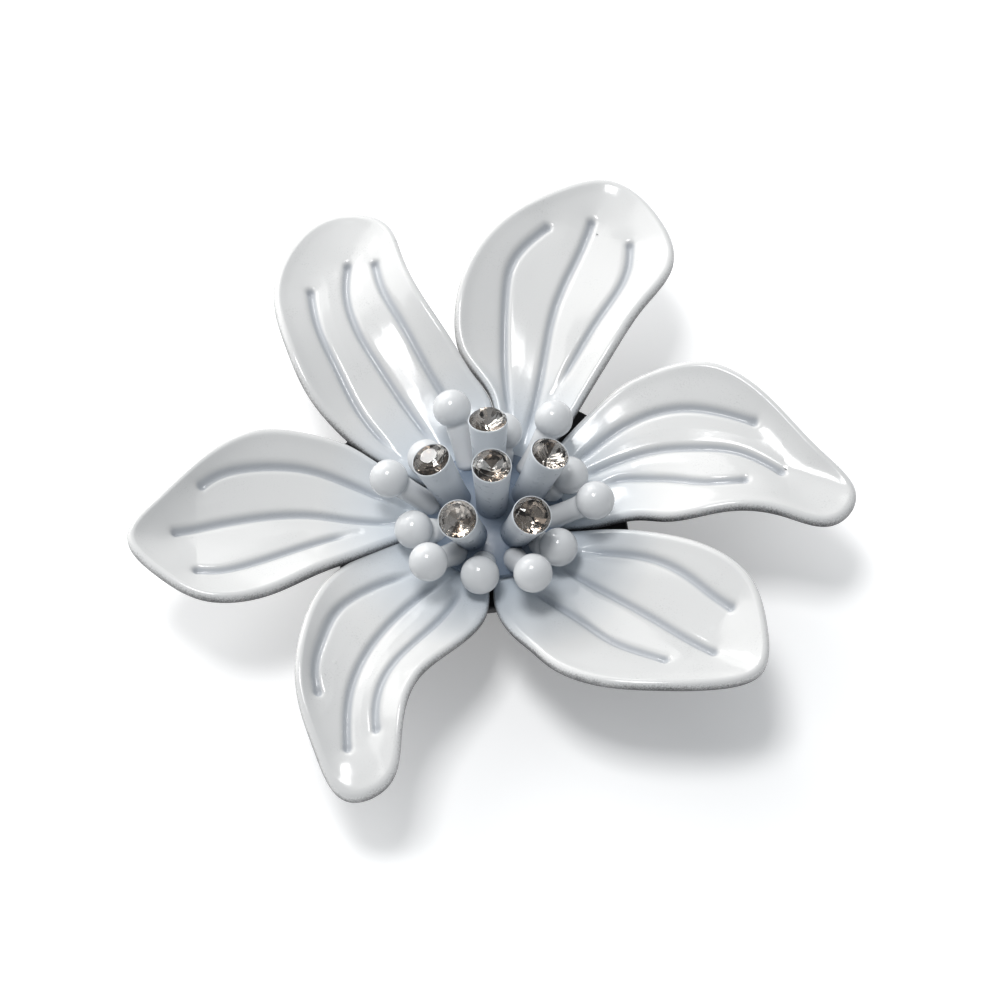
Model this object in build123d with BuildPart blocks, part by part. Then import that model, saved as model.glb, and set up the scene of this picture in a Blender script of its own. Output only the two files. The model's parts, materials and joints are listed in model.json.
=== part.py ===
from build123d import *
import os
from math import cos, sin, sqrt, radians

# Flower hair clip: six enamelled metal petals round a bunch of rhinestone posts and
# ball-headed stamens, riveted to a sprung two-arm clip through a padded backing plate.
# Millimetres, +Z up. The origin lies on the flat underside of the lower arm, straight
# below the flower's centre. +X is the flower's right and +Y is its top.

# ---- driving dimensions: clip ------------------------------------------------------
clip_heading = -20.0       # direction of the press levers in plan, degrees from +X
arm_thk = 0.8              # spring-steel strip
arm_gap = 5.8              # clear height between the two arms at the hinge
jaw_reach = 25.0           # flower centre to the jaw tips
lever_reach = 17.5         # flower centre to the ends of the press levers
jaw_bend = 12.0            # where the upper jaw starts to come down
grip_length = 3.5          # flat end of the upper jaw that meets the lower arm
bend_radius = 4.0          # bends of the upper jaw
lower_width = 8.0
tip_width = 5.4
corner_radius = 2.0        # rounded plan corners of both arms
jaw_clearance = 0.05       # between the closed jaws

pin_reach = 4.5            # flower centre to the hinge pin
pin_radius = 0.8
pin_head_radius = 1.3
pin_head_thk = 0.5
pin_clearance = 0.05       # pin to the ears of the lower arm, and heads to the ears
pin_press_clearance = 0.02 # pin to the ears of the upper arm, before it is peened
ear_radius = 2.2
ear_thk = 0.6
ear_inside = 2.5           # hinge centre plane to the inner face of the lower ears
ear_clearance = 0.25       # between the lower ears and the upper ears

spring_wire = 0.7
spring_coil_radius = 1.55  # centre of the wire
spring_turns = 4           # whole turns before the legs take their share back
spring_pitch = 0.8
spring_leg_slope = 30.0    # slope of both legs, degrees
spring_clearance = 0.05    # leg ends to the arms

# ---- driving dimensions: backing pad and rivet --------------------------------------
pad_length = 30.5
pad_width = 24.0
pad_thk = 1.2
pad_corner = 7.0
pad_edge = 0.3
pad_centre = (-1.4, 2.0)
pad_turn = 8.0             # degrees
rivet_radius = 1.5
rivet_clearance = 0.05
rivet_head_radius = 2.6
rivet_head_thk = 0.7

# ---- driving dimensions: flower ------------------------------------------------------
petal_thk = 1.4
petal_root = 4.7           # inner end of every petal, from the flower's centre
petal_margin = 1.5         # width of the pressed blank outside the trimmed outline

hub_radius = 7.5
hub_rise = 0.45            # the flange follows the cup of the petals
hub_flange_thk = 0.6
hub_height = 2.6           # dome above the petals
hub_rivet_wall = 0.5       # metal over the rivet's blind hole
hub_seat_clearance = 0.15  # flange to the petals
hub_pad_clearance = 0.02   # boss to the backing pad
socket_clearance = 0.02    # stems and posts to their sockets
hub_boss_clearance = 0.2   # boss to the inner ends of the petals

ball_radius = 2.0
ball_stem_base = 0.9
ball_stem_neck = 1.15
ball_count = 6             # in each of the two rings
ball_root = 6.1            # where a stem's lower end stands in the hub
ball_root_height = 1.15    # above the hub's seat
long_reach = ball_radius + 8.7  # the heads stand clear of the posts
long_height = 6.7          # above the middle of the petal roots
long_first = 53.0          # heading of the first long stamen, degrees
short_reach = ball_radius + 6.7
short_height = ball_radius + 2.1
short_first = 22.0

crystal_radius = 1.87
crystal_girdle = 0.25
crystal_crown = 0.75
crystal_table = 0.9        # radius of the flat on top
crystal_pavilion = 1.2
crystal_seat_clearance = 0.03
post_wall = 0.16           # metal round a stone's girdle
post_rim = crystal_radius + crystal_seat_clearance + post_wall
post_lip = 0.1             # rim above the girdle's underside, less the girdle
post_base = 1.35
post_root = 3.4            # where a leaning post stands in the hub
post_root_height = 0.6     # above the hub's seat
crystal_ring = 6.35        # crown centres of the five outer rhinestones
crystal_ring_height = 9.7  # of their girdles, above the middle of the petal roots
crystal_top_height = 11.2  # girdle of the middle rhinestone
crystal_first = 21.5       # heading of the first outer rhinestone, degrees
crystal_count = 5

# ---- levels ----------------------------------------------------------------------------
upper_underside = arm_thk + arm_gap
upper_top = upper_underside + arm_thk
pad_top = upper_top + pad_thk
petal_level = pad_top + petal_thk / 2
hub_seat = petal_level + petal_thk / 2 + hub_seat_clearance
pin_height = arm_thk + arm_gap / 2

# Each petal has a heading, the sideways reach of its left and right edges at these
# shares of its length (left is positive), and a tip: its length and its sideways reach.
stations = (0.18, 0.31, 0.39, 0.47, 0.63, 0.79, 0.92)
petals = {
    "petal_upper_left": (113, (5.7, 10.0, 11.7, 12.7, 12.7, 11.5, 8.2),
                         (-3.0, -5.1, -4.4, -3.8, -2.7, -2.8, -2.8), (38.6, 1.8)),
    "petal_top": (72, (2.1, 4.6, 9.0, 10.8, 11.4, 9.6, 5.6),
                  (-2.6, -4.7, -5.6, -6.5, -8.2, -9.6, -6.4), (42.2, 0.6)),
    "petal_right": (4, (7.4, 11.9, 13.8, 14.6, 14.4, 9.6, 3.0),
                    (-1.8, -2.3, -2.4, -3.4, -3.6, -4.5, -5.3), (37.8, -2.4)),
    "petal_lower_right": (-38, (2.8, 5.7, 7.1, 8.1, 9.2, 8.5, 5.2),
                          (-7.5, -9.9, -10.5, -11.1, -10.5, -7.5, -3.9), (33.9, 0.6)),
    "petal_lower_left": (-115, (2.7, 4.6, 4.5, 3.8, 2.4, 3.5, 4.4),
                         (-7.2, -10.2, -11.2, -11.5, -10.6, -8.3, -4.0), (37.5, 1.2)),
    "petal_left": (184, (1.4, 3.1, 4.7, 6.4, 9.8, 10.3, 7.2),
                   (-4.0, -6.8, -8.6, -9.4, -9.8, -6.6, -1.8), (37.6, 2.6)),
}
# The pressed shape of every petal: distance out, rise of the middle, lift of the rims.
petal_form = (
    (3.0, 0.0, 0.0),
    (7.0, 0.25, 0.15),
    (13.0, 1.35, 1.0),
    (20.0, 2.8, 1.7),
    (28.0, 4.15, 1.5),
    (36.0, 4.6, 1.0),
    (45.0, 4.7, 1.0),
)

os.makedirs("parts", exist_ok=True)


def along(heading, reach, height=0.0):
    """The point at a distance out from the flower's axis in a plan direction."""
    return Vector(reach * cos(radians(heading)), reach * sin(radians(heading)), height)


def between(value, keys, values):
    """Straight-line reading between stations, level beyond the last one."""
    if value <= keys[0]:
        return values[0] * value / keys[0]
    for low, high, first, last in zip(keys, keys[1:], values, values[1:]):
        if value <= high:
            return first + (last - first) * (value - low) / (high - low)
    return values[-1]


def save(builder, name):
    """Label a finished piece and write its STEP file."""
    builder.part.label = name
    export_step(builder.part, f"parts/{name}.step")


clip_plan = Plane(origin=(0, 0, 0), x_dir=along(clip_heading, 1), z_dir=(0, 0, 1))
clip_side = Plane(origin=(0, 0, 0), x_dir=along(clip_heading, 1), z_dir=along(clip_heading - 90, 1))
upper_ear_inside = ear_inside + ear_thk + ear_clearance
upper_ear_outside = upper_ear_inside + ear_thk


# ---- petals ------------------------------------------------------------------------------
def petal(heading, left, right, tip):
    """One petal: a cupped strip pressed to the common form, trimmed to its outline."""
    reaches = [share * tip[0] for share in stations]
    with BuildPart() as piece:
        for reach, rise, lift in petal_form:
            across = Plane(
                origin=along(heading, reach, petal_level + rise),
                x_dir=along(heading + 90, 1),
                z_dir=along(heading, 1),
            )
            far_left = between(reach, reaches, left) + petal_margin
            far_right = between(reach, reaches, right) - petal_margin
            middle = (far_left + far_right) / 2
            with BuildSketch(across):
                with BuildLine():
                    low = -petal_thk / 2
                    top = Spline(
                        (far_right, lift - low),
                        ((far_right + middle) / 2, lift / 4 - low),
                        (middle, -low),
                        ((far_left + middle) / 2, lift / 4 - low),
                        (far_left, lift - low),
                    )
                    bottom = Spline(
                        (far_right, lift + low),
                        ((far_right + middle) / 2, lift / 4 + low),
                        (middle, low),
                        ((far_left + middle) / 2, lift / 4 + low),
                        (far_left, lift + low),
                    )
                    Line(top @ 0, bottom @ 0)
                    Line(top @ 1, bottom @ 1)
                make_face()
        loft()
        with BuildSketch(Plane(origin=(0, 0, 0), x_dir=along(heading, 1), z_dir=(0, 0, 1))):
            with BuildLine():
                edge = Spline(
                    *zip(reaches, left),
                    tip,
                    *zip(reversed(reaches), reversed(right)),
                )
                Polyline(
                    edge @ 1,
                    (petal_root, right[0] * petal_root / reaches[0]),
                    (petal_root, left[0] * petal_root / reaches[0]),
                    edge @ 0,
                )
            make_face()
        extrude(amount=2 * petal_level, mode=Mode.INTERSECT)
    return piece


for name, shape in petals.items():
    save(petal(*shape), name)


# ---- stamens: ball heads on tapered stems ------------------------------------------------
def stem_plane(heading, root, root_height, reach, height):
    """The plane of a stem's lower end, its normal along the stem, and the stem's length."""
    start = along(heading, root, hub_seat + root_height)
    end = along(heading, reach, petal_level + height)
    return Plane(origin=start, z_dir=end - start), (end - start).length


def ball_places():
    """Plane and stem length of the twelve ball stamens, long and short in turn."""
    turn = 360 / ball_count
    for number in range(ball_count):
        yield stem_plane(long_first + turn * number, ball_root, ball_root_height,
                         long_reach, long_height)
        yield stem_plane(short_first + turn * number, ball_root, ball_root_height,
                         short_reach, short_height)


def crystal_places():
    """Plane and post length of the middle rhinestone, then of the leaning five."""
    yield stem_plane(0, 0, post_root_height, 0, crystal_top_height)
    for number in range(crystal_count):
        yield stem_plane(crystal_first + 360 / crystal_count * number, post_root,
                         post_root_height, crystal_ring, crystal_ring_height)


neck_drop = sqrt(ball_radius**2 - ball_stem_neck**2)  # ball centre to the stem's neck
for number, (base, length) in enumerate(ball_places(), start=1):
    with BuildPart() as stamen:
        with BuildSketch(Plane(origin=base.origin, x_dir=base.x_dir, z_dir=-base.y_dir)):
            with BuildLine():
                ball = ThreePointArc(
                    (ball_stem_neck, length - neck_drop),
                    (ball_radius, length),
                    (0, length + ball_radius),
                )
                Polyline(ball @ 1, (0, 0), (ball_stem_base, 0), ball @ 0)
            make_face()
        revolve(axis=Axis(base.origin, base.z_dir))
    save(stamen, f"ball_stamen_{number}")

# ---- rhinestones in their posts -----------------------------------------------------------
# A post is a tapered cone whose top is hollowed into a cup. The stone's girdle sits at
# the post's full length and its pavilion hangs in the cup.
for number, (base, length) in enumerate(crystal_places(), start=1):
    with BuildPart() as stone:
        with BuildSketch(Plane(origin=base.origin, x_dir=base.x_dir, z_dir=-base.y_dir)):
            with BuildLine():
                crown = ThreePointArc(
                    (crystal_radius, length + crystal_girdle),
                    ((crystal_radius + crystal_table) / 2 + 0.12, length + crystal_girdle
                     + crystal_crown * 0.6),
                    (crystal_table, length + crystal_girdle + crystal_crown),
                )
                Polyline(
                    crown @ 1,
                    (0, length + crystal_girdle + crystal_crown),
                    (0, length - crystal_pavilion),
                    (crystal_radius, length),
                    crown @ 0,
                )
            make_face()
        revolve(axis=Axis(base.origin, base.z_dir))
    save(stone, f"rhinestone_{number}")

    with BuildPart() as post:
        with BuildSketch(base):
            Circle(post_base)
        with BuildSketch(base.offset(length + crystal_girdle + post_lip)):
            Circle(post_rim)
        loft()
        gap = crystal_seat_clearance
        with BuildSketch(Plane(origin=base.origin, x_dir=base.x_dir, z_dir=-base.y_dir)):
            Polygon(
                (0, length - crystal_pavilion - 2 * gap),
                (crystal_radius + gap, length - 2 * gap),
                (crystal_radius + gap, length + crystal_girdle + 2 * post_lip),
                (0, length + crystal_girdle + 2 * post_lip),
                align=None,
            )
        revolve(axis=Axis(base.origin, base.z_dir), mode=Mode.SUBTRACT)
    save(post, f"rhinestone_post_{number}")

# ---- hub: a domed disc with a socket for every stem and post -------------------------------
hub_bottom = pad_top + hub_pad_clearance
with BuildPart() as hub:
    with BuildSketch(Plane.XZ):
        with BuildLine():
            dome = ThreePointArc(
                (hub_radius, hub_seat + hub_rise + hub_flange_thk),
                (hub_radius * 0.6, hub_seat + hub_height * 0.83),
                (0, hub_seat + hub_height),
            )
            Polyline(
                dome @ 1,
                (0, hub_bottom),
                (petal_root - hub_boss_clearance, hub_bottom),
                (petal_root - hub_boss_clearance, hub_seat),
                (hub_radius, hub_seat + hub_rise),
                dome @ 0,
            )
        make_face()
    revolve(axis=Axis.Z)
    rivet_depth = hub_seat - hub_bottom - hub_rivet_wall
    with BuildSketch(Plane.XY.offset(hub_bottom)):
        Circle(rivet_radius + rivet_clearance)
    extrude(amount=rivet_depth, mode=Mode.SUBTRACT)
    for base, length in ball_places():
        with BuildSketch(base.offset(-socket_clearance)):
            Circle(ball_stem_base + socket_clearance)
        with BuildSketch(base.offset(length - neck_drop)):
            Circle(ball_stem_neck + socket_clearance)
        loft(mode=Mode.SUBTRACT)
    for base, length in crystal_places():
        with BuildSketch(base.offset(-socket_clearance)):
            Circle(post_base + socket_clearance)
        with BuildSketch(base.offset(length)):
            Circle(post_rim + socket_clearance)
        loft(mode=Mode.SUBTRACT)
save(hub, "stamen_hub")

# ---- backing pad and the rivet that holds the flower to the clip -----------------------------
pad_plane = Plane(origin=(*pad_centre, upper_top), x_dir=along(pad_turn, 1), z_dir=(0, 0, 1))
with BuildPart() as pad:
    with BuildSketch(pad_plane):
        RectangleRounded(pad_length, pad_width, pad_corner)
    extrude(amount=pad_thk)
    fillet(pad.edges().group_by(Axis.Z)[-1] + pad.edges().group_by(Axis.Z)[0], pad_edge)
    with BuildSketch(Plane.XY.offset(upper_top)):
        Circle(rivet_radius + rivet_clearance)
    extrude(amount=pad_thk, mode=Mode.SUBTRACT)
save(pad, "backing_pad")

with BuildPart() as rivet:
    with BuildSketch(Plane.XY.offset(upper_underside - rivet_head_thk)):
        Circle(rivet_head_radius)
    extrude(amount=rivet_head_thk)
    fillet(rivet.edges().group_by(Axis.Z)[0], rivet_head_thk / 2)
    with BuildSketch(Plane.XY.offset(upper_underside)):
        Circle(rivet_radius)
    extrude(amount=hub_bottom + rivet_depth - rivet_clearance - upper_underside)
save(rivet, "centre_rivet")


# ---- clip arms --------------------------------------------------------------------------------
def arm_outline(half_width):
    """Plan outline shared by both arms: parallel levers, then jaws that taper to the tip."""
    with BuildSketch(clip_plan) as outline:
        with BuildLine():
            Polyline(
                (lever_reach, half_width),
                (-jaw_bend, half_width),
                (-jaw_reach, tip_width / 2),
                (-jaw_reach, -tip_width / 2),
                (-jaw_bend, -half_width),
                (lever_reach, -half_width),
                close=True,
            )
        make_face()
        fillet(outline.vertices(), corner_radius)
    return outline.sketch


def hinge_ears(inside, level):
    """Outlines of two round-ended ears from an arm's level to the pin, one each side."""
    with BuildSketch(clip_side.offset(inside), clip_side.offset(-inside - ear_thk)) as ears:
        with Locations((pin_reach, pin_height)):
            Circle(ear_radius)
        with Locations((pin_reach, (pin_height + level) / 2)):
            Rectangle(2 * ear_radius, abs(level - pin_height))
    return ears.sketch


with BuildPart() as lower_arm:
    extrude(arm_outline(lower_width / 2), amount=arm_thk)
    extrude(hinge_ears(ear_inside, arm_thk / 2), amount=ear_thk)
    with BuildSketch(clip_side):
        with Locations((pin_reach, pin_height)):
            Circle(pin_radius + pin_clearance)
    extrude(amount=lower_width, both=True, mode=Mode.SUBTRACT)
save(lower_arm, "lower_arm")

grip_level = arm_thk + jaw_clearance + arm_thk / 2
upper_level = upper_underside + arm_thk / 2
with BuildPart() as upper_arm:
    with BuildSketch(clip_side):
        with BuildLine():
            FilletPolyline(
                (-jaw_reach, grip_level),
                (-jaw_reach + grip_length, grip_level),
                (-jaw_bend, upper_level),
                (lever_reach, upper_level),
                radius=bend_radius,
            )
        trace(line_width=arm_thk)
    extrude(amount=upper_ear_outside, both=True)
    extrude(arm_outline(upper_ear_outside), amount=2 * upper_top, mode=Mode.INTERSECT)
    extrude(hinge_ears(upper_ear_inside, upper_level), amount=ear_thk)
    with BuildSketch(clip_side):
        with Locations((pin_reach, pin_height)):
            Circle(pin_radius + pin_press_clearance)
    extrude(amount=2 * upper_ear_outside, both=True, mode=Mode.SUBTRACT)
    with BuildSketch(Plane.XY.offset(upper_underside - arm_thk)):
        Circle(rivet_radius + rivet_clearance)
    extrude(amount=3 * arm_thk, mode=Mode.SUBTRACT)
save(upper_arm, "upper_arm")

# ---- hinge pin and torsion spring ---------------------------------------------------------------
head_start = upper_ear_outside + pin_clearance
with BuildPart() as pin:
    with BuildSketch(clip_side):
        with Locations((pin_reach, pin_height)):
            Circle(pin_radius)
    extrude(amount=head_start, both=True)
    with BuildSketch(clip_side.offset(head_start), clip_side.offset(-head_start - pin_head_thk)):
        with Locations((pin_reach, pin_height)):
            Circle(pin_head_radius)
    extrude(amount=pin_head_thk)
save(pin, "hinge_pin")

# The legs run off the coil along its tangents, one down to the lower arm and one up to
# the upper arm, so the coil starts and ends that much short of whole turns.
leg_angle = 90 - spring_leg_slope
coil_height = spring_pitch * (spring_turns - 2 * leg_angle / 360)
coil_start = clip_side.from_local_coords((pin_reach, pin_height, -coil_height / 2))
coil_x = clip_side.x_dir * cos(radians(leg_angle)) + Vector(0, 0, 1) * sin(radians(leg_angle))
leg_drop = arm_gap / 2 - spring_wire / 2 - spring_clearance
leg_rise = leg_drop + spring_coil_radius * sin(radians(leg_angle))
leg_length = leg_rise / sin(radians(spring_leg_slope))
coil_plane = Plane(origin=coil_start, x_dir=coil_x, z_dir=clip_side.z_dir)
with BuildPart() as wound:
    with BuildLine():
        coil = Helix(pitch=spring_pitch, height=coil_height, radius=spring_coil_radius)
    with BuildSketch(Plane(origin=coil @ 0, z_dir=coil % 0)):
        Circle(spring_wire / 2)
    sweep(path=coil, is_frenet=True)
    with BuildSketch(Plane(origin=coil @ 0 - (coil % 0) * leg_length, z_dir=coil % 0)):
        Circle(spring_wire / 2)
    extrude(amount=leg_length)
    with BuildSketch(Plane(origin=coil @ 1, z_dir=coil % 1)):
        Circle(spring_wire / 2)
    extrude(amount=leg_length)
with BuildPart() as spring:
    add(wound.part.moved(coil_plane.location))
save(spring, "torsion_spring")
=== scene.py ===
import json
from math import cos, exp, pi, radians, sin

import bmesh
import bpy
import numpy as np
from mathutils import Matrix, Vector


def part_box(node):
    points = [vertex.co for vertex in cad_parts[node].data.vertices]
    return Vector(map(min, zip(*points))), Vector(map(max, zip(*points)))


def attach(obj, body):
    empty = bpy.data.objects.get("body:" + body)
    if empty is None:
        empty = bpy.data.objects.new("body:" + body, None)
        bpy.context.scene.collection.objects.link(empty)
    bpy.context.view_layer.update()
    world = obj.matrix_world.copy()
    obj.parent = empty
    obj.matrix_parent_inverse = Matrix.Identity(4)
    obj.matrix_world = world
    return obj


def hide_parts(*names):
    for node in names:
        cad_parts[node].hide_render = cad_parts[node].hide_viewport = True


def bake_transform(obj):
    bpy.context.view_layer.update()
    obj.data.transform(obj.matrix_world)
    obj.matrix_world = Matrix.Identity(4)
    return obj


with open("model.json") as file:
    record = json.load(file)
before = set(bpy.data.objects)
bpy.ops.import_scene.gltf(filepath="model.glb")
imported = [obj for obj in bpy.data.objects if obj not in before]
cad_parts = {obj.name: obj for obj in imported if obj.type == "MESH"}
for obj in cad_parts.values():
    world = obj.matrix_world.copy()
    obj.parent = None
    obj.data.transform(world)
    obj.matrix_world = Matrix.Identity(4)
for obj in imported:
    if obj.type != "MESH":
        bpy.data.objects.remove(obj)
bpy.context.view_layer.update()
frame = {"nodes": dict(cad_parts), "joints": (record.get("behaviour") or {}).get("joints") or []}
MM = 0.001


# ---- Clip arms -------------------------------------------------------------------------
# Two strips of spring steel, pressed and bent, then dipped in black lacquer. The upper
# arm carries the flower and the lower arm swings on the hinge pin.
def worn_colour(nodes, links, name, scale, low, high):
    """A noise pattern on Object coordinates, spread between two values."""
    place = nodes.new("ShaderNodeTexCoord")
    noise = nodes.new("ShaderNodeTexNoise")
    noise.label = name
    noise.inputs["Scale"].default_value = scale
    noise.inputs["Detail"].default_value = 4.0
    spread = nodes.new("ShaderNodeMapRange")
    spread.inputs["From Min"].default_value = 0.3
    spread.inputs["From Max"].default_value = 0.7
    spread.inputs["To Min"].default_value = low
    spread.inputs["To Max"].default_value = high
    links.new(place.outputs["Object"], noise.inputs["Vector"])
    links.new(noise.outputs["Fac"], spread.inputs["Value"])
    return spread.outputs["Result"]


def grain_group():
    """Fine unevenness of a paint or lacquer film, as a height."""
    group = bpy.data.node_groups.new("film_grain", "ShaderNodeTree")
    group.interface.new_socket("Scale", in_out="INPUT", socket_type="NodeSocketFloat")
    group.interface.new_socket("Height", in_out="OUTPUT", socket_type="NodeSocketFloat")
    nodes, links = group.nodes, group.links
    source, result = nodes.new("NodeGroupInput"), nodes.new("NodeGroupOutput")
    place = nodes.new("ShaderNodeTexCoord")
    noise = nodes.new("ShaderNodeTexNoise")
    noise.inputs["Detail"].default_value = 3.0
    links.new(place.outputs["Object"], noise.inputs["Vector"])
    links.new(source.outputs["Scale"], noise.inputs["Scale"])
    links.new(noise.outputs["Fac"], result.inputs["Height"])
    return group


film_grain = grain_group()


def add_grain(nodes, links, shader, scale, strength):
    """Feed the film's grain to a shader's normal, and give back the bump and the height."""
    grain = nodes.new("ShaderNodeGroup")
    grain.node_tree = film_grain
    grain.inputs["Scale"].default_value = scale
    bump = nodes.new("ShaderNodeBump")
    bump.inputs["Distance"].default_value = 0.00004
    bump.inputs["Strength"].default_value = strength
    links.new(grain.outputs["Height"], bump.inputs["Height"])
    links.new(bump.outputs["Normal"], shader.inputs["Normal"])
    return bump, grain.outputs["Height"]


def new_material(name):
    material = bpy.data.materials.new(name)
    material.use_nodes = True
    nodes, links = material.node_tree.nodes, material.node_tree.links
    return material, nodes, links, nodes["Principled BSDF"]


def black_lacquer():
    material, nodes, links, shader = new_material("black_lacquer")
    shader.inputs["Base Color"].default_value = (0.012, 0.012, 0.014, 1)
    shader.inputs["Coat Weight"].default_value = 0.5
    shader.inputs["Coat Roughness"].default_value = 0.12
    rough = worn_colour(nodes, links, "handling marks", 900, 0.22, 0.42)
    links.new(rough, shader.inputs["Roughness"])
    add_grain(nodes, links, shader, 2500, 0.25)
    return material


def dress(node, material):
    """Give a CAD node its finished material."""
    mesh = frame["nodes"][node].data
    mesh.materials.clear()
    mesh.materials.append(material)


lacquer = black_lacquer()
dress("lower_arm", lacquer)
dress("upper_arm", lacquer)


# ---- Hinge pin -------------------------------------------------------------------------
# A turned steel pin, peened over at both ends.
def bright_steel():
    material, nodes, links, shader = new_material("bright_steel")
    shader.inputs["Metallic"].default_value = 1.0
    shader.inputs["Base Color"].default_value = (0.52, 0.52, 0.53, 1)
    rough = worn_colour(nodes, links, "drawn marks", 1500, 0.2, 0.4)
    links.new(rough, shader.inputs["Roughness"])
    add_grain(nodes, links, shader, 4000, 0.15)
    return material


steel = bright_steel()
dress("hinge_pin", steel)


# ---- Torsion spring --------------------------------------------------------------------
# Round wire wound round the pin. The lower leg presses on the lower arm and the upper leg
# on the upper arm, and the coil winds up as the jaw opens.
WIRE, COIL_RADIUS, PITCH, LEG_LENGTH = 0.35, 1.55, 0.8, 7.685
LEG_ANGLE = 60.0
COIL_TURNS = 4 - 2 * LEG_ANGLE / 360
hinge = next(joint for joint in frame["joints"] if joint["name"] == "jaw_hinge")
pin_middle, pin_line = Vector(hinge["pos_m"]) / MM, Vector(hinge["axis"])
coil_height = PITCH * COIL_TURNS
coil_out = Vector((0, 0, 1)).cross(pin_line)
coil_x = coil_out * cos(radians(LEG_ANGLE)) + Vector((0, 0, 1)) * sin(radians(LEG_ANGLE))
coil_y = pin_line.cross(coil_x)


def wire_line(steps=240, leg_steps=24):
    """Points along the middle of the wire, from the lower leg's end to the upper leg's."""
    full = 2 * pi * COIL_TURNS
    points = []
    for k in range(steps + 1):
        angle = full * k / steps
        points.append(pin_middle + COIL_RADIUS * (cos(angle) * coil_x + sin(angle) * coil_y)
                      + pin_line * coil_height * (k / steps - 0.5))
    climb = pin_line * PITCH / (2 * pi)
    first = -(COIL_RADIUS * coil_y + climb).normalized()
    last = (COIL_RADIUS * (cos(full) * coil_y - sin(full) * coil_x) + climb).normalized()
    lower_leg = [points[0] + first * LEG_LENGTH * (1 - k / leg_steps) for k in range(leg_steps)]
    upper_leg = [points[-1] + last * LEG_LENGTH * (k + 1) / leg_steps for k in range(leg_steps)]
    return lower_leg + points + upper_leg


def drawn_wire(name, points, radius, around=20):
    bm = bmesh.new()
    loops = []
    for k, point in enumerate(points):
        ahead = (points[min(k + 1, len(points) - 1)] - points[max(k - 1, 0)]).normalized()
        side = pin_line.cross(ahead).normalized()
        up = ahead.cross(side)
        end = 0.75 if k in (0, len(points) - 1) else 1.0
        loop = bmesh.ops.create_circle(bm, segments=around, radius=radius * end)["verts"]
        turn = Matrix((side, up, ahead)).transposed().to_4x4()
        bmesh.ops.transform(bm, verts=loop, matrix=Matrix.Translation(point) @ turn)
        loops.append(loop)
    for lower, upper in zip(loops, loops[1:]):
        for a, b, c, d in zip(lower, lower[1:] + lower[:1], upper[1:] + upper[:1], upper):
            bm.faces.new((a, b, c, d))
    bm.faces.new(loops[0])
    bm.faces.new(loops[-1])
    bmesh.ops.recalc_face_normals(bm, faces=bm.faces)
    for face in bm.faces:
        face.smooth = len(face.verts) == 4
    bm.transform(Matrix.Scale(MM, 4))
    mesh = bpy.data.meshes.new(name)
    bm.to_mesh(mesh)
    bm.free()
    piece = bpy.data.objects.new(name, mesh)
    bpy.context.scene.collection.objects.link(piece)
    return piece


spring = drawn_wire("spring_coil", wire_line(), WIRE)
spring.data.materials.append(steel)
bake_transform(spring)
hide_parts("torsion_spring")


# ---- Rivet -----------------------------------------------------------------------------
# A brass rivet through the pad and the upper arm, set into the foot of the hub.
def plain_brass():
    material, nodes, links, shader = new_material("plain_brass")
    shader.inputs["Metallic"].default_value = 1.0
    shader.inputs["Base Color"].default_value = (0.72, 0.52, 0.24, 1)
    rough = worn_colour(nodes, links, "tarnish", 700, 0.28, 0.5)
    links.new(rough, shader.inputs["Roughness"])
    add_grain(nodes, links, shader, 3000, 0.2)
    return material


dress("centre_rivet", plain_brass())


# ---- Backing pad -----------------------------------------------------------------------
# Black leather-faced board that spreads the flower's weight over the clip.
def pad_leather():
    material, nodes, links, shader = new_material("pad_leather")
    shader.inputs["Base Color"].default_value = (0.015, 0.015, 0.017, 1)
    rough = worn_colour(nodes, links, "rubbed patches", 300, 0.45, 0.7)
    links.new(rough, shader.inputs["Roughness"])
    add_grain(nodes, links, shader, 1800, 0.8)
    return material


dress("backing_pad", pad_leather())


# ---- Petals ----------------------------------------------------------------------------
# Each petal is a cast metal leaf with three pressed veins and a cupped rim, sprayed with
# glossy white enamel from above, so the black back shows at the lower side of the rim.
PETAL_THICKNESS = 1.4
PETAL_ROOT = 4.7
PETAL_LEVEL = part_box("backing_pad")[1].z / MM + PETAL_THICKNESS / 2
RIM_RADIUS = PETAL_THICKNESS / 2
RIM_SQUARE = 0.62
DROOP_START = 20.0
STATIONS = (0.18, 0.31, 0.39, 0.47, 0.63, 0.79, 0.92)
TOP_ROWS, RIM_ROWS, BACK_ROWS, AROUND = 46, 14, 10, 460
SEAM_STEP = 0.5
FORM_REACH = (3.0, 7.0, 13.0, 20.0, 28.0, 36.0, 45.0)
FORM_RISE = (0.0, 0.2, 1.1, 2.3, 3.3, 3.5, 3.5)
FORM_LIFT = (0.0, 0.2, 1.2, 2.1, 2.3, 2.1, 2.0)
VEIN_DEPTH, VEIN_WIDTH = 0.55, 0.42
PILLOW_DEPTH, PILLOW_WIDTH = 0.16, 1.4
VEIN_STOP, DIMPLE_DEPTH = 0.7, 0.12
LIP_HEIGHT, LIP_WIDTH = 0.07, 0.7

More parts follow.
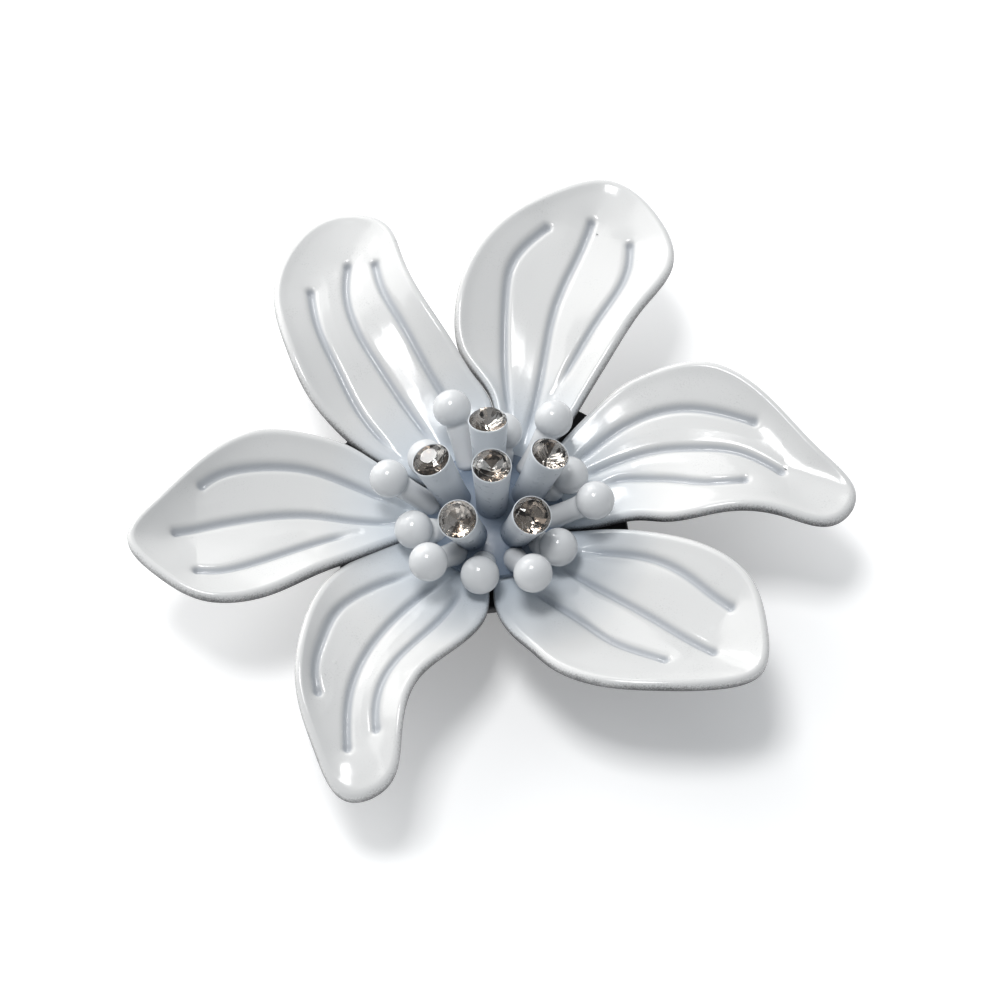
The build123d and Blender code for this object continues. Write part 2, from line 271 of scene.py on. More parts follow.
# heading; left and right edges at the stations; tip; swell before the tip, drop of the
# tip, and the share of the rim's lift that it keeps; the three veins from root to tip
PETALS = {
    "petal_upper_left": (
        113, (5.7, 10.0, 11.7, 12.8, 13.1, 12.0, 8.7),
        (-3.0, -5.1, -4.4, -3.8, -2.7, -2.8, -2.8),
        (40.2, 1.8), (0.9, 0.8, 0.45),
        (((10.0, 6.4), (15.8, 8.3), (21.1, 8.8), (27.3, 8.8), (32.1, 7.7)),
         ((9.0, 2.0), (14.7, 3.3), (19.7, 4.3), (25.9, 5.0), (30.5, 4.2), (34.1, 2.5)),
         ((9.0, -2.0), (15.8, -0.6), (19.3, -0.1), (24.0, 0.4), (28.7, 0.7), (32.7, 0.0)))),
    "petal_top": (
        72, (2.1, 4.6, 9.0, 10.8, 11.4, 9.6, 5.6),
        (-2.6, -4.7, -5.6, -6.5, -8.2, -9.6, -6.4),
        (42.8, 0.6), (0.6, 0.5, 0.55),
        (((10.0, 1.2), (17.4, 4.3), (21.1, 5.5), (25.0, 6.6), (28.3, 7.1), (31.7, 6.4),
          (35.3, 4.7)),
         ((8.0, -0.4), (17.0, 0.1), (25.0, 1.1), (29.1, 1.0), (33.5, 0.7), (37.8, 0.7)),
         ((15.5, -1.9), (20.1, -2.9), (24.3, -3.8), (28.4, -4.8), (32.1, -5.0),
          (36.0, -4.1)))),
    "petal_right": (
        4, (7.4, 11.9, 13.8, 14.6, 14.4, 9.8, 3.4),
        (-1.8, -2.3, -2.4, -3.4, -3.6, -4.5, -5.3),
        (37.8, -1.9), (0.9, 0.8, 0.45),
        (((8.0, 5.0), (10.5, 6.8), (13.7, 8.9), (17.4, 10.1), (21.3, 10.0), (24.6, 9.0),
          (28.6, 7.2)),
         ((8.0, 3.4), (11.2, 4.6), (17.9, 5.9), (22.1, 5.3), (25.7, 4.4), (30.8, 1.2)),
         ((11.0, 2.4), (13.8, 3.0), (16.3, 2.6), (19.2, 1.8), (22.1, 0.7), (26.9, 0.4)))),
    "petal_lower_right": (
        -38, (2.8, 5.7, 7.1, 8.1, 9.2, 8.5, 5.2),
        (-7.5, -9.9, -10.5, -11.1, -10.5, -7.5, -3.9),
        (33.9, 0.6), (0.2, 0.2, 0.85),
        (((9.5, 1.8), (13.7, 4.2), (17.5, 5.4), (21.5, 5.5), (24.9, 5.1), (27.5, 5.0)),
         ((8.0, -0.4), (13.4, -0.3), (21.9, -0.2), (25.9, -0.2), (29.0, 0.1)),
         ((7.5, -4.4), (12.3, -4.4), (15.6, -4.6), (19.4, -4.9), (22.9, -4.3),
          (25.7, -3.6)))),
    "petal_lower_left": (
        -115, (2.7, 4.6, 4.5, 3.8, 2.4, 3.5, 4.4),
        (-7.4, -10.4, -11.4, -11.6, -10.6, -8.3, -4.0),
        (36.0, 1.2), (1.3, 1.7, 0.1),
        (((9.0, -3.8), (12.1, -6.5), (14.9, -8.1), (18.0, -8.9), (22.0, -8.5),
          (26.0, -7.4), (28.3, -5.8)),
         ((7.2, -0.4), (11.0, -2.2), (14.3, -3.3), (18.5, -4.0), (22.6, -4.0),
          (26.3, -3.4), (32.1, -0.8)),
         ((8.0, 1.0), (13.2, 0.7), (16.5, 0.0), (20.4, -0.8), (24.0, -0.9), (27.1, -0.1),
          (29.4, 1.2)))),
    "petal_left": (
        184, (1.5, 3.5, 5.1, 6.6, 9.8, 10.3, 7.2),
        (-4.0, -6.8, -8.6, -9.4, -9.8, -6.6, -1.8),
        (37.6, 2.6), (0.0, -0.2, 1.0),
        (((14.0, 1.6), (18.4, 3.0), (22.0, 4.4), (25.5, 5.7), (28.6, 6.4), (31.3, 6.2)),
         ((8.0, 0.4), (14.9, -0.1), (18.2, -0.6), (21.8, -0.6), (26.1, 0.0), (33.4, 1.6)),
         ((9.0, -1.6), (12.8, -3.5), (18.6, -5.7), (22.0, -6.0), (25.2, -5.7),
          (28.3, -4.7), (30.4, -3.2)))),
}


def smooth_line(points, count):
    """Evenly spaced points on a natural cubic spline through the given points."""
    points = np.array(points, float)
    gaps = np.linalg.norm(np.diff(points, axis=0), axis=1)
    knots = np.concatenate(([0], np.cumsum(gaps)))
    size = len(points)
    bend = np.eye(size)
    target = np.zeros((size, 2))
    for k in range(1, size - 1):
        bend[k, k - 1:k + 2] = gaps[k - 1], 2 * (gaps[k - 1] + gaps[k]), gaps[k]
        target[k] = 6 * ((points[k + 1] - points[k]) / gaps[k]
                         - (points[k] - points[k - 1]) / gaps[k - 1])
    curve = np.linalg.solve(bend, target)
    at = np.linspace(0, knots[-1], 8 * count)
    k = np.clip(np.searchsorted(knots, at) - 1, 0, size - 2)
    h, a, b = gaps[k][:, None], (knots[k + 1] - at)[:, None], (at - knots[k])[:, None]
    line = ((curve[k] * a ** 3 + curve[k + 1] * b ** 3) / (6 * h)
            + (points[k] / h - curve[k] * h / 6) * a
            + (points[k + 1] / h - curve[k + 1] * h / 6) * b)
    return even(line, count)


def even(line, count):
    """The same line with its points spaced evenly along it."""
    steps = np.concatenate(([0], np.cumsum(np.linalg.norm(np.diff(line, axis=0), axis=1))))
    at = np.linspace(0, steps[-1], count)
    return np.stack([np.interp(at, steps, line[:, axis]) for axis in (0, 1)], axis=1)


FORM_AT = np.linspace(0, 46, 93)
RISE = np.interp(FORM_AT, FORM_REACH, FORM_RISE)
LIFT = np.interp(FORM_AT, FORM_REACH, FORM_LIFT)
for _ in range(60):
    RISE[1:-1] = (RISE[:-2] + 2 * RISE[1:-1] + RISE[2:]) / 4
    LIFT[1:-1] = (LIFT[:-2] + 2 * LIFT[1:-1] + LIFT[2:]) / 4


def petal_piece(name, heading, left, right, tip, droop, veins):
    """A closed leaf: rows run from the midline over the top, round the rim and back."""
    reaches = [share * tip[0] for share in STATIONS]
    root_left = (PETAL_ROOT, left[0] * PETAL_ROOT / reaches[0])
    root_right = (PETAL_ROOT, right[0] * PETAL_ROOT / reaches[0])
    root_middle = (PETAL_ROOT, (root_left[1] + root_right[1]) / 2)
    edge = smooth_line([root_left, *zip(reaches, left), tip,
                        *zip(reversed(reaches), reversed(right)), root_right], 900)
    edge = even(np.vstack([[root_middle], edge, [root_middle]]), AROUND + 1)
    along = np.gradient(edge, axis=0)
    along /= np.linalg.norm(along, axis=1)[:, None]
    outward = np.stack([-along[:, 1], along[:, 0]], axis=1)
    inner = edge - outward * RIM_RADIUS
    middle_reach = [PETAL_ROOT, *reaches, tip[0]]
    middle_side = [root_middle[1], *[(a + b) / 2 for a, b in zip(left, right)], tip[1]]
    spine_reach = np.clip(inner[:, 0], PETAL_ROOT + 1.6, tip[0] - 7.0)
    spine_line = smooth_line(list(zip(middle_reach, middle_side)), 200)
    spine = np.stack([spine_reach, np.interp(spine_reach, *spine_line.T)], axis=1)
    seam_reach = np.rint(spine_reach / SEAM_STEP) * SEAM_STEP
    seam = np.stack([seam_reach, np.interp(seam_reach, *spine_line.T)], axis=1)

    rows = TOP_ROWS + RIM_ROWS + BACK_ROWS
    bm = bmesh.new()
    bmesh.ops.create_grid(bm, x_segments=AROUND, y_segments=rows, size=0.5)
    mesh = bpy.data.meshes.new(name)
    bm.to_mesh(mesh)
    co = np.zeros(len(mesh.vertices) * 3)
    mesh.vertices.foreach_get("co", co)
    co = co.reshape(-1, 3)
    step = np.rint((co[:, 0] + 0.5) * AROUND).astype(int)
    row = np.rint((co[:, 1] + 0.5) * rows)
    on_top, on_back = row <= TOP_ROWS, row >= TOP_ROWS + RIM_ROWS
    out = np.where(on_top, row / TOP_ROWS, np.where(on_back, (rows - row) / BACK_ROWS, 1.0))
    out = out[:, None]
    turn = np.clip((row - TOP_ROWS) / RIM_ROWS, 0, 1) * pi
    rim_out = np.abs(np.sin(turn)) ** RIM_SQUARE
    rim_up = np.sign(np.cos(turn)) * np.abs(np.cos(turn)) ** RIM_SQUARE
    flat = spine[step] + (inner[step] - spine[step]) * out
    flat += outward[step] * (RIM_RADIUS * rim_out)[:, None]
    flat = np.where(out == 0, seam[step], flat)  # both halves share their midline points
    tipward = np.clip((flat[:, 0] - DROOP_START) / (tip[0] - DROOP_START), 0, 1) ** 2
    swell, drop, hold = droop
    height = np.interp(flat[:, 0], FORM_AT, RISE) - drop * tipward
    height += swell * np.exp(-((flat[:, 0] - 25) / 8) ** 2)
    lift = np.interp(flat[:, 0], FORM_AT, LIFT) * (1 - (1 - hold) * tipward)
    height += lift * out[:, 0] ** 1.9
    height += RIM_RADIUS * rim_up

    top = on_top | (turn < pi / 2)
    press = np.zeros(len(co))
    near = np.full(len(co), 99.0)
    for points in veins:
        line = smooth_line(points, 160)
        line = line[:-int(VEIN_STOP / np.linalg.norm(line[1] - line[0]))]
        gap = np.linalg.norm(flat[:, None] - line[None], axis=2)
        nearest = gap.argmin(axis=1)
        gap = gap.min(axis=1)
        share = nearest / len(line)
        depth = VEIN_DEPTH * np.clip(share / 0.15, 0.3, 1)
        press -= depth * np.exp(-(gap / VEIN_WIDTH) ** 2)
        near = np.minimum(near, gap + 3 * (1 - np.clip(share / 0.3, 0, 1)))
        to_end = np.linalg.norm(flat - line[-1], axis=1)
        press -= DIMPLE_DEPTH * np.exp(-(to_end / VEIN_WIDTH) ** 2)
    press -= PILLOW_DEPTH * np.exp(-(near / PILLOW_WIDTH) ** 2)
    to_edge = np.linalg.norm(edge[step] - flat, axis=1)
    lip = LIP_HEIGHT * np.exp(-((to_edge - RIM_RADIUS) / LIP_WIDTH) ** 2)
    lip *= np.clip((flat[:, 0] - 8) / 8, 0, 1)
    height += np.where(top, press + lip, 0)

    heading = radians(heading)
    place = np.stack([
        flat[:, 0] * cos(heading) - flat[:, 1] * sin(heading),
        flat[:, 0] * sin(heading) + flat[:, 1] * cos(heading),
        height + PETAL_LEVEL,
    ], axis=1)
    mesh.vertices.foreach_set("co", (place * MM).ravel())
    sprayed = mesh.attributes.new("enamel", "FLOAT", "POINT")
    covered = np.where(turn <= 0, 1.0, 0.5 + 0.5 * np.cos(turn))
    sprayed.data.foreach_set("value", np.where(on_back, 0.0, covered))
    pressed = mesh.attributes.new("pressed", "FLOAT", "POINT")
    pressed.data.foreach_set("value", np.where(top, np.clip(-press / VEIN_DEPTH, 0, 1), 0.0))
    bm.clear()
    bm.from_mesh(mesh)
    bmesh.ops.remove_doubles(bm, verts=bm.verts, dist=0.00001)
    bmesh.ops.recalc_face_normals(bm, faces=bm.faces)
    for face in bm.faces:
        face.smooth = True
    bm.to_mesh(mesh)
    bm.free()
    return bpy.data.objects.new(name, mesh)


def scattered_dots(nodes, links, scale, size, share):
    """Round dots at random places: one in some cells of a Voronoi pattern."""
    place = nodes.new("ShaderNodeTexCoord")
    cells = nodes.new("ShaderNodeTexVoronoi")
    cells.inputs["Scale"].default_value = scale
    dot = nodes.new("ShaderNodeMapRange")
    dot.interpolation_type = "SMOOTHSTEP"
    dot.inputs["From Min"].default_value = size
    dot.inputs["From Max"].default_value = size * 0.3
    parts = nodes.new("ShaderNodeSeparateColor")
    chosen = nodes.new("ShaderNodeMath")
    chosen.operation = "LESS_THAN"
    chosen.inputs[1].default_value = share
    both = nodes.new("ShaderNodeMath")
    both.operation = "MULTIPLY"
    links.new(place.outputs["Object"], cells.inputs["Vector"])
    links.new(cells.outputs["Distance"], dot.inputs["Value"])
    links.new(cells.outputs["Color"], parts.inputs["Color"])
    links.new(parts.outputs["Red"], chosen.inputs[0])
    links.new(dot.outputs["Result"], both.inputs[0])
    links.new(chosen.outputs["Value"], both.inputs[1])
    return both.outputs["Value"]


def petal_enamel():
    """Glossy white enamel that thins to the black back below the rim, with painted blue-grey shade
    towards the flower's centre and in the vein grooves.
    """
    material, nodes, links, shader = new_material("petal_enamel")
    cover = nodes.new("ShaderNodeAttribute")
    cover.attribute_name = "enamel"
    speckle = worn_colour(nodes, links, "spray speckle", 6000, -0.13, 0.13)
    drift = worn_colour(nodes, links, "spray drift", 260, -0.08, 0.08)
    mottled = nodes.new("ShaderNodeMath")
    mottled.operation = "ADD"
    links.new(speckle, mottled.inputs[0])
    links.new(drift, mottled.inputs[1])
    edge = nodes.new("ShaderNodeMath")
    edge.operation = "ADD"
    links.new(cover.outputs["Fac"], edge.inputs[0])
    links.new(mottled.outputs["Value"], edge.inputs[1])
    fade = nodes.new("ShaderNodeMapRange")
    fade.interpolation_type = "SMOOTHSTEP"
    fade.inputs["From Min"].default_value = 0.35
    fade.inputs["From Max"].default_value = 0.95
    links.new(edge.outputs["Value"], fade.inputs["Value"])
    # painted shade: the enamel turns blue-grey towards the flower's centre, where the petals are
    # shaded
    tint = nodes.new("ShaderNodeMix")
    tint.data_type = "RGBA"
    tint.inputs["A"].default_value = (0.48, 0.545, 0.615, 1)
    tint.inputs["B"].default_value = (0.68, 0.68, 0.675, 1)
    place = nodes.new("ShaderNodeTexCoord")
    flat = nodes.new("ShaderNodeVectorMath")
    flat.operation = "MULTIPLY"
    flat.inputs[1].default_value = (1, 1, 0)
    reach = nodes.new("ShaderNodeVectorMath")
    reach.operation = "LENGTH"
    links.new(place.outputs["Object"], flat.inputs[0])
    links.new(flat.outputs["Vector"], reach.inputs[0])
    centre_shade = nodes.new("ShaderNodeMapRange")
    centre_shade.inputs["From Min"].default_value = 0.006
    centre_shade.inputs["From Max"].default_value = 0.018
    links.new(reach.outputs["Value"], centre_shade.inputs["Value"])
    links.new(centre_shade.outputs["Result"], tint.inputs["Factor"])
    colour = nodes.new("ShaderNodeMix")
    colour.data_type = "RGBA"
    colour.inputs["A"].default_value = (0.045, 0.046, 0.05, 1)
    links.new(fade.outputs["Result"], colour.inputs["Factor"])
    # painted shade: the pressed vein grooves are darkened blue-grey by their depth
    veins = nodes.new("ShaderNodeAttribute")
    veins.attribute_name = "pressed"
    vein_shade = nodes.new("ShaderNodeMapRange")
    vein_shade.interpolation_type = "SMOOTHSTEP"
    vein_shade.inputs["From Min"].default_value = 0.25
    vein_shade.inputs["To Max"].default_value = 0.46
    links.new(veins.outputs["Fac"], vein_shade.inputs["Value"])
    vein_shaded = nodes.new("ShaderNodeMix")
    vein_shaded.data_type = "RGBA"
    vein_shaded.inputs["B"].default_value = (0.27, 0.31, 0.37, 1)
    links.new(vein_shade.outputs["Result"], vein_shaded.inputs["Factor"])
    links.new(tint.outputs["Result"], vein_shaded.inputs["A"])
    links.new(vein_shaded.outputs["Result"], colour.inputs["B"])
    rough = nodes.new("ShaderNodeMapRange")
    rough.inputs["To Min"].default_value = 0.45
    rough.inputs["To Max"].default_value = 0.15
    links.new(fade.outputs["Result"], rough.inputs["Value"])
    links.new(rough.outputs["Result"], shader.inputs["Roughness"])
    bump, height = add_grain(nodes, links, shader, 700, 0.3)
    blisters = scattered_dots(nodes, links, 240, 0.075, 0.30)
    pinholes = scattered_dots(nodes, links, 420, 0.07, 0.12)
    raised = nodes.new("ShaderNodeMath")
    raised.operation = "MULTIPLY_ADD"
    raised.inputs[1].default_value = 3.0
    links.new(blisters, raised.inputs[0])
    links.new(height, raised.inputs[2])
    sunk = nodes.new("ShaderNodeMath")
    sunk.operation = "MULTIPLY_ADD"
    sunk.inputs[1].default_value = -4.0
    links.new(pinholes, sunk.inputs[0])
    links.new(raised.outputs["Value"], sunk.inputs[2])
    links.new(sunk.outputs["Value"], bump.inputs["Height"])
    dusty = nodes.new("ShaderNodeMix")
    dusty.data_type = "RGBA"
    dusty.inputs["B"].default_value = (0.10, 0.10, 0.11, 1)
    links.new(scattered_dots(nodes, links, 300, 0.035, 0.08), dusty.inputs["Factor"])
    links.new(colour.outputs["Result"], dusty.inputs["A"])
    links.new(dusty.outputs["Result"], shader.inputs["Base Color"])
    return material


enamel = petal_enamel()
for petal_name, shape in PETALS.items():
    petal = petal_piece(petal_name + "_leaf", *shape)
    petal.data.materials.append(enamel)
    bpy.context.scene.collection.objects.link(petal)
    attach(petal, "flower")
    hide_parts(petal_name)


# ---- Hub -------------------------------------------------------------------------------
# The domed foot that every stem is soldered into, sprayed with the same white enamel.
HUB_SEAT = PETAL_LEVEL + PETAL_THICKNESS / 2 + 0.15


def paint_by_height(name, low_colour, high_colour, low, high):
    """Enamel that changes colour between two heights above the hub's seat: painted shade, dark low
    down and light higher up.
    """
    material, nodes, links, shader = new_material(name)
    tint = nodes.new("ShaderNodeMix")
    tint.data_type = "RGBA"
    tint.inputs["A"].default_value = low_colour
    tint.inputs["B"].default_value = high_colour
    place = nodes.new("ShaderNodeTexCoord")
    parts = nodes.new("ShaderNodeSeparateXYZ")
    foot_shade = nodes.new("ShaderNodeMapRange")
    foot_shade.inputs["From Min"].default_value = (HUB_SEAT + low) * MM
    foot_shade.inputs["From Max"].default_value = (HUB_SEAT + high) * MM
    links.new(place.outputs["Object"], parts.inputs["Vector"])
    links.new(parts.outputs["Z"], foot_shade.inputs["Value"])
    links.new(foot_shade.outputs["Result"], tint.inputs["Factor"])
    links.new(tint.outputs["Result"], shader.inputs["Base Color"])
    return material, nodes, links, shader


def stem_enamel():
    # painted shade: the hub and the feet of the stems and posts are dark blue-grey, fading to
    # white enamel higher up
    material, nodes, links, shader = paint_by_height(
        "stem_enamel", (0.13, 0.17, 0.23, 1), (0.66, 0.69, 0.72, 1), 2.4, 7.0)
    rough = worn_colour(nodes, links, "dry spray", 1200, 0.25, 0.42)
    links.new(rough, shader.inputs["Roughness"])
    add_grain(nodes, links, shader, 2200, 0.22)
    return material


stem_paint = stem_enamel()
# the hub takes the stem enamel, so it is mostly painted shade
dress("stamen_hub", stem_paint)


# ---- Ball stamens ----------------------------------------------------------------------
# Twelve tapered stems with ball heads, six long and six short in turn, dipped in enamel,
# which gathers in a fillet at the foot.
BALL_RADIUS = 2.0
STEM_BASE, STEM_NECK = 0.9, 1.15
STEM_ROOT, STEM_ROOT_HEIGHT, NECK_BACK = 6.1, 1.15, 1.64
FILLET, FILLET_FADE = 0.45, 2.0
LONG = {"first": 53.0, "reach": 10.7, "height": 6.7}
SHORT = {"first": 22.0, "reach": 8.7, "height": 4.1}


def lean(heading, root, root_height, reach, height):
    """Start and end of a stem, in millimetres."""
    out = Vector((cos(radians(heading)), sin(radians(heading)), 0))
    start = out * root + Vector((0, 0, HUB_SEAT + root_height))
    return start, out * reach + Vector((0, 0, PETAL_LEVEL + height))


def turned(name, profile, start, end, steps=48):
    """A piece turned on a lathe: (radius, distance) points spun round the stem's line."""
    bm = bmesh.new()
    points = [bm.verts.new((radius, 0, at)) for radius, at in profile]
    edges = [bm.edges.new(pair) for pair in zip(points, points[1:])]
    bmesh.ops.spin(bm, geom=points + edges, cent=(0, 0, 0), axis=(0, 0, 1),
                   angle=2 * pi, steps=steps, use_merge=True)
    bmesh.ops.remove_doubles(bm, verts=bm.verts, dist=0.0005)
    bmesh.ops.recalc_face_normals(bm, faces=bm.faces)
    turn = (end - start).to_track_quat("Z", "Y").to_matrix().to_4x4()
    bm.transform(Matrix.Scale(MM, 4) @ Matrix.Translation(start) @ turn)
    for face in bm.faces:
        face.smooth = True
    mesh = bpy.data.meshes.new(name)
    bm.to_mesh(mesh)
    bm.free()
    piece = bpy.data.objects.new(name, mesh)
    bpy.context.scene.collection.objects.link(piece)
    return piece


def ball_enamel():
    # painted shade: the stems are darker blue-grey towards the foot, lightening up to the balls
    material, nodes, links, shader = paint_by_height(
        "ball_enamel", (0.42, 0.48, 0.55, 1), (0.67, 0.68, 0.69, 1), 0.4, 2.6)
    rough = worn_colour(nodes, links, "dip gloss", 900, 0.10, 0.18)
    links.new(rough, shader.inputs["Roughness"])
    add_grain(nodes, links, shader, 900, 0.1)
    return material


ball_paint = ball_enamel()
number = 0
for turn in range(6):
    for ring in (LONG, SHORT):
        number += 1
        start, end = lean(ring["first"] + 60 * turn, STEM_ROOT, STEM_ROOT_HEIGHT,
                          ring["reach"], ring["height"])
        length = (end - start).length
        profile = [(0, 0)]
        neck = length - NECK_BACK
        for share in (0, 0.1, 0.2, 0.35, 0.5, 0.75):
            radius = STEM_BASE + (STEM_NECK - STEM_BASE) * share
            profile.append((radius + FILLET * exp(-neck * share / FILLET_FADE), neck * share))
        first = 36
        for angle in range(first, 180, 6):
            radius = BALL_RADIUS * sin(radians(angle))
            at = length - BALL_RADIUS * cos(radians(angle))
            if angle == first:
                profile.append((radius * 1.03, at - 0.35))
            profile.append((radius, at))
        profile.append((0, length + BALL_RADIUS))
        stamen = turned(f"ball_head_{number}", profile, start, end)
        stamen.data.materials.append(ball_paint)
        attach(stamen, "flower")
        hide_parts(f"ball_stamen_{number}")


# ---- Rhinestone posts ------------------------------------------------------------------
# Tapered metal posts whose tops are hollowed into cups, sprayed with the flower's enamel.
STONE_RADIUS = 1.87
GIRDLE = 0.25
CROWN = 0.75
PAVILION = 1.2
POST_RIM, POST_BASE, POST_LIP = 2.06, 1.35, 0.1
POST_ROOT, POST_ROOT_HEIGHT = 3.4, 0.6
MIDDLE_HEIGHT, RING_HEIGHT, RING_REACH, RING_FIRST = 11.2, 9.7, 6.35, 21.5

post_lines = [lean(0, 0, POST_ROOT_HEIGHT, 0, MIDDLE_HEIGHT)]
for turn in range(5):
    post_lines.append(lean(RING_FIRST + 72 * turn, POST_ROOT, POST_ROOT_HEIGHT,
                           RING_REACH, RING_HEIGHT))

for number, (start, end) in enumerate(post_lines, start=1):
    length = (end - start).length
    rim_at = length + GIRDLE + POST_LIP
    slope = (POST_RIM - POST_BASE) / rim_at
    profile = [(0, 0)]
    for share in (0, 0.08, 0.16, 0.24, 0.32, 0.45, 0.6, 0.8, 0.94):
        radius = POST_BASE + slope * rim_at * share
        profile.append((radius + FILLET * exp(-rim_at * share / FILLET_FADE), rim_at * share))
    profile += [
        (POST_RIM, rim_at - 0.22), (POST_RIM - 0.01, rim_at - 0.12),
        (POST_RIM - 0.05, rim_at - 0.06),
        (STONE_RADIUS + 0.1, rim_at - 0.06), (STONE_RADIUS + 0.09, rim_at - 0.12),
        (STONE_RADIUS + 0.09, length - 0.02), (0.2, length - PAVILION - 0.06),
        (0, length - PAVILION - 0.06),
    ]
    post = turned(f"stone_post_{number}", profile, start, end, steps=64)
    # the posts take the stem enamel, with its painted shade at the foot
    post.data.materials.append(stem_paint)
    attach(post, "flower")
    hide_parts(f"rhinestone_post_{number}")


# ---- Rhinestones -----------------------------------------------------------------------
# Round machine-cut glass stones with foiled backs, glued into the cups. The foil is cut with the
# pavilion facets that show through the crown, and each facet is painted a random tone from black
# through brown to white as painted reflections.
def stone_glass():
    material, nodes, links, shader = new_material("stone_glass")
    shader.inputs["Base Color"].default_value = (0.97, 0.96, 0.94, 1)
    shader.inputs["Transmission Weight"].default_value = 1.0
    shader.inputs["IOR"].default_value = 1.52
    rough = worn_colour(nodes, links, "polish", 2000, 0.0, 0.03)
    links.new(rough, shader.inputs["Roughness"])
    return material


def stone_foil():
    material, nodes, links, shader = new_material("stone_foil")
    shader.inputs["Metallic"].default_value = 1.0
    # painted reflection: each foil facet takes a random tone, from black through brown to white
    facet_reflection = nodes.new("ShaderNodeAttribute")
    facet_reflection.attribute_name = "facet"
    ramp = nodes.new("ShaderNodeValToRGB")
    ramp.color_ramp.elements[0].color = (0.08, 0.065, 0.055, 1)
    ramp.color_ramp.elements[1].color = (0.98, 0.97, 0.95, 1)
    brown = ramp.color_ramp.elements.new(0.4)
    brown.color = (0.44, 0.38, 0.33, 1)
    links.new(facet_reflection.outputs["Fac"], ramp.inputs["Fac"])
    links.new(ramp.outputs["Color"], shader.inputs["Base Color"])
    rough = worn_colour(nodes, links, "foil", 1500, 0.05, 0.14)
    links.new(rough, shader.inputs["Roughness"])
    return material


glass, foil = stone_glass(), stone_foil()
reflection_tones = np.random.default_rng(7)
FACETS = 16


def cut_stone(name, rings, start, end):
    """Rings of (radius, distance, share of a facet turned), joined into flat facets."""
    bm = bmesh.new()
    loops = []
    for radius, at, shift in rings:
        if radius == 0:
            loops.append([bm.verts.new((0, 0, at))])
            continue
        loop = bmesh.ops.create_circle(bm, segments=FACETS, radius=radius)["verts"]
        bmesh.ops.rotate(bm, verts=loop, matrix=Matrix.Rotation(shift * 2 * pi / FACETS, 3, "Z"))
        bmesh.ops.translate(bm, verts=loop, vec=(0, 0, at))
        loops.append(loop)
    for lower, upper in zip(loops, loops[1:]):
        if len(lower) == 1 or len(upper) == 1:
            point, loop = (lower[0], upper) if len(lower) == 1 else (upper[0], lower)
            for k, vert in enumerate(loop):
                bm.faces.new((vert, loop[(k + 1) % FACETS], point))
            continue
        edges = [bm.edges.get((a, b)) for loop in (lower, upper)
                 for a, b in zip(loop, loop[1:] + loop[:1])]
        bmesh.ops.bridge_loops(bm, edges=edges)
    bmesh.ops.recalc_face_normals(bm, faces=bm.faces)
    for face in bm.faces:
        middle = face.calc_center_median()
        face.material_index = 1 if middle.z < rings[1][1] - 0.01 else 0
    turn = (end - start).to_track_quat("Z", "Y").to_matrix().to_4x4()
    bm.transform(Matrix.Scale(MM, 4) @ Matrix.Translation(start) @ turn)
    mesh = bpy.data.meshes.new(name)
    bm.to_mesh(mesh)
    bm.free()
    piece = bpy.data.objects.new(name, mesh)
    bpy.context.scene.collection.objects.link(piece)
    return piece


for number, (start, end) in enumerate(post_lines, start=1):
    length = (end - start).length
    girdle = STONE_RADIUS + 0.07
    stone = cut_stone(f"cut_stone_{number}", [
        (0, length - PAVILION, 0), (girdle, length + 0.02, 0), (girdle, length + GIRDLE + 0.05, 0),
        (girdle * 0.78, length + GIRDLE + CROWN * 0.68, 0.5),
        (girdle * 0.46, length + GIRDLE + CROWN, 0), (0, length + GIRDLE + CROWN, 0),
    ], start, end)
    # painted reflections: a random tone for each pair of facets
    facet_reflection = stone.data.attributes.new("facet", "FLOAT", "FACE")
    values = np.repeat(reflection_tones.random(len(stone.data.polygons) // 2 + 1), 2)
    facet_reflection.data.foreach_set("value", values[:len(stone.data.polygons)])
    stone.data.materials.append(glass)
    stone.data.materials.append(foil)
    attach(stone, "flower")
    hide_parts(f"rhinestone_{number}")


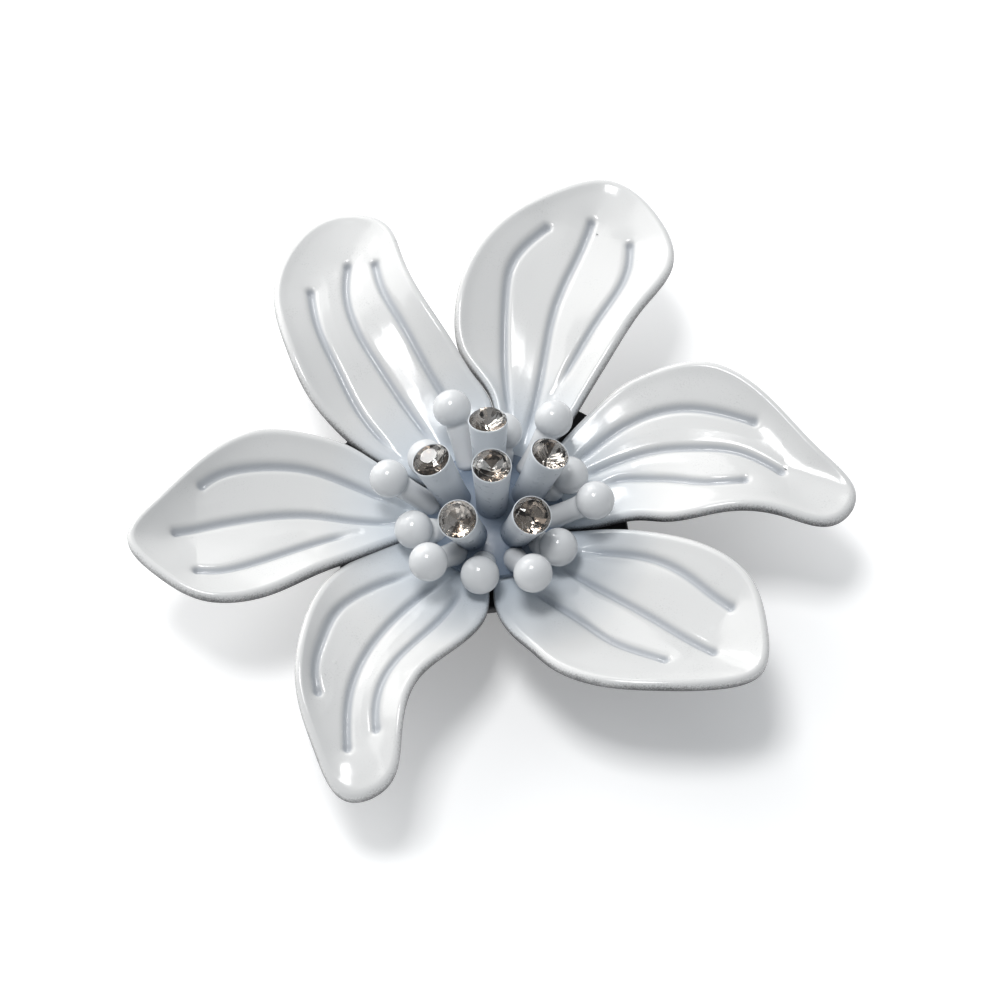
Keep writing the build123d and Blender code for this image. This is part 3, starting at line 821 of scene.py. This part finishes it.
# ---- Table, lights and camera ----------------------------------------------------------
# A pale table under a window at the back left, with two bright panes, and a softbox above.
def pale_table():
    material, nodes, links, shader = new_material("pale_table")
    shader.inputs["Base Color"].default_value = (0.96, 0.96, 0.96, 1)
    shader.inputs["Roughness"].default_value = 0.8
    shader.inputs["Emission Color"].default_value = (1, 1, 1, 1)
    shader.inputs["Emission Strength"].default_value = 0.24
    return material


bm = bmesh.new()
bmesh.ops.create_grid(bm, x_segments=1, y_segments=1, size=3.0)
table_mesh = bpy.data.meshes.new("table_top")
bm.to_mesh(table_mesh)
bm.free()
table = bpy.data.objects.new("table_top", table_mesh)
table.data.materials.append(pale_table())
bpy.context.scene.collection.objects.link(table)

FLOWER = Vector((0.84, 2.69, PETAL_LEVEL)) * MM


def lamp(name, place, size, watts, colour):
    light = bpy.data.lights.new(name, "AREA")
    light.shape = "RECTANGLE"
    light.size, light.size_y = size
    light.energy = watts
    light.color = colour
    holder = bpy.data.objects.new(name, light)
    holder.location = place
    holder.rotation_euler = (FLOWER - Vector(place)).to_track_quat("-Z", "Y").to_euler()
    bpy.context.scene.collection.objects.link(holder)


lamp("window", (-0.52, 0.62, 0.46), (1.2, 0.9), 7.6, (1.0, 0.99, 0.97))
lamp("ceiling_softbox", (-0.13, 0.05, 0.80), (0.22, 0.22), 3.1, (1.0, 1.0, 1.0))
lamp("window_pane_left", (-0.40, 0.50, 0.42), (0.08, 0.13), 0.4, (1.0, 1.0, 1.0))
lamp("window_pane_right", (-0.27, 0.57, 0.42), (0.08, 0.13), 0.4, (1.0, 1.0, 1.0))

world = bpy.data.worlds.new("room")
world.use_nodes = True
world.node_tree.nodes["Background"].inputs["Color"].default_value = (0.90, 0.95, 1.0, 1)
world.node_tree.nodes["Background"].inputs["Strength"].default_value = 0.33
bpy.context.scene.world = world

CAMERA_RISE, CAMERA_REACH = radians(59.5), 0.330
camera = bpy.data.cameras.new("camera")
camera.lens = 112.9
camera.sensor_width = 36.0
camera_holder = bpy.data.objects.new("camera", camera)
camera_holder.location = FLOWER + CAMERA_REACH * Vector((0, -cos(CAMERA_RISE), sin(CAMERA_RISE)))
camera_holder.rotation_euler = (pi / 2 - CAMERA_RISE, 0, 0)
bpy.context.scene.collection.objects.link(camera_holder)
bpy.context.scene.camera = camera_holder
bpy.context.scene.view_settings.view_transform = "Standard"
